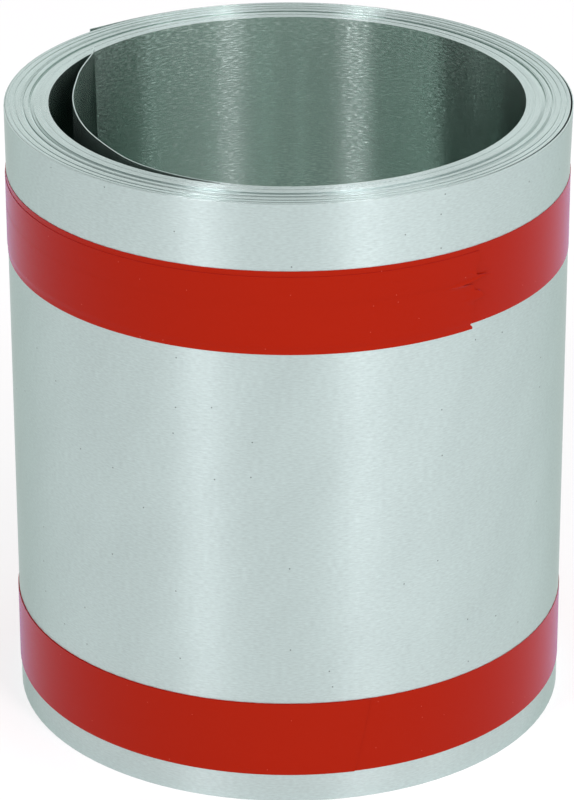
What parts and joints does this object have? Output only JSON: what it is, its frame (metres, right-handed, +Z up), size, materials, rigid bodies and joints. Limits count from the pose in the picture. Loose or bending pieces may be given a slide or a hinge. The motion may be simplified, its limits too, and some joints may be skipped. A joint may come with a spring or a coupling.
{
  "type": "aluminum flashing roll",
  "caption": "Narrow roll of thin mill-finish aluminium flashing, wound round an open bore and held shut by two bands of red tape.",
  "frame": {"origin": "middle of the end that the roll stands on, on the roll's axis", "axes": "+Z up along the roll's axis; -Y faces the side where both tapes end; the tail of the strip stands off the bore's wall on the -X side"},
  "size_m": [0.1346, 0.1346, 0.1539],
  "materials": {
    "mill_aluminium": "mill finish, bright and finely rolled",
    "red_tape": "glossy red packing tape"
  },
  "bodies": {
    "root": {"coil": "mill_aluminium", "upper_tape": "red_tape", "lower_tape": "red_tape"}
  },
  "joints": []
}
